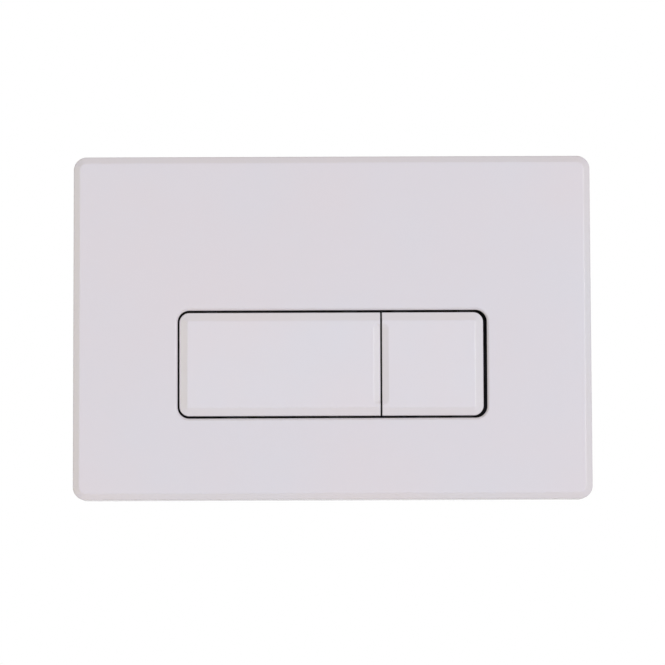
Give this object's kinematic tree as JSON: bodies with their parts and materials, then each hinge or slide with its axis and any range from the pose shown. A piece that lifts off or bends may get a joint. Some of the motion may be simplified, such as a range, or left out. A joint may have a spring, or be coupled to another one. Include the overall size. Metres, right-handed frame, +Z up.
{
  "type": "flush button plate",
  "caption": "Flat white plate for a concealed cistern with a wide and a narrow hinged flush button, sprung plungers and push rods behind, and a wall mounting frame.",
  "frame": {"origin": "middle of the plate's outline on the wall plane, halfway between the fixing studs", "axes": "+X to the right as seen from the room, +Y into the wall along the fixing studs, +Z up"},
  "size_m": [0.247, 0.0839, 0.1642],
  "materials": {
    "white_gloss": "smooth glossy white moulding",
    "white_gloss_button": "smooth glossy white moulding",
    "black_plastic": "fine matte black moulding",
    "grey_plastic": "matte grey moulding",
    "white_rod": "natural white threaded plastic",
    "frame_plastic": "matte off-white moulding",
    "soft_grey": "soft matte rubber",
    "steel": "zinc plated steel"
  },
  "bodies": {
    "plate": {"front_plate": "white_gloss", "button_carrier": "black_plastic", "carrier_screws": "steel", "full_flush_hinge_pin": "steel", "half_flush_hinge_pin": "steel", "full_flush_return_spring": "steel", "half_flush_return_spring": "steel", "mounting_frame": "frame_plastic", "left_fixing_stud": "steel", "right_fixing_stud": "steel", "left_fixing_washer": "steel", "right_fixing_washer": "steel", "left_fixing_nut": "steel", "right_fixing_nut": "steel"},
    "full_button": {"full_flush_button": "white_gloss_button", "full_flush_rocker": "black_plastic", "full_flush_buffers": "soft_grey"},
    "half_button": {"half_flush_button": "white_gloss_button", "half_flush_rocker": "black_plastic", "half_flush_buffers": "soft_grey"},
    "full_plunger": {"full_flush_plunger": "grey_plastic", "full_flush_push_rod": "white_rod", "full_flush_lock_nut": "grey_plastic", "full_flush_rod_tip": "soft_grey"},
    "half_plunger": {"half_flush_plunger": "grey_plastic", "half_flush_push_rod": "white_rod", "half_flush_lock_nut": "grey_plastic", "half_flush_rod_tip": "soft_grey"}
  },
  "joints": [
    {"name": "full_flush_hinge", "type": "hinge", "parent": "plate", "child": "full_button", "pos_m": [-0.02495, -0.007, 0.01315], "axis": [1, 0, 0], "range_deg": [0, 9.16], "stiffness_Nm_per_rad": 0.67, "springref_deg": -7.85},
    {"name": "half_flush_hinge", "type": "hinge", "parent": "plate", "child": "half_button", "pos_m": [0.04777, -0.007, 0.01315], "axis": [1, 0, 0], "range_deg": [0, 9.16], "stiffness_Nm_per_rad": 0.67, "springref_deg": -7.85},
    {"name": "full_flush_slide", "type": "slide", "parent": "plate", "child": "full_plunger", "axis": [0, 1, 0], "range_m": [0, 0.007], "deforming": ["full_flush_return_spring"]},
    {"name": "half_flush_slide", "type": "slide", "parent": "plate", "child": "half_plunger", "axis": [0, 1, 0], "range_m": [0, 0.007], "deforming": ["half_flush_return_spring"]}
  ],
  "couplings": [
    {"joint": "full_flush_slide", "follows": "full_flush_hinge", "m_per_rad": 0.04375},
    {"joint": "half_flush_slide", "follows": "half_flush_hinge", "m_per_rad": 0.04375}
  ]
}
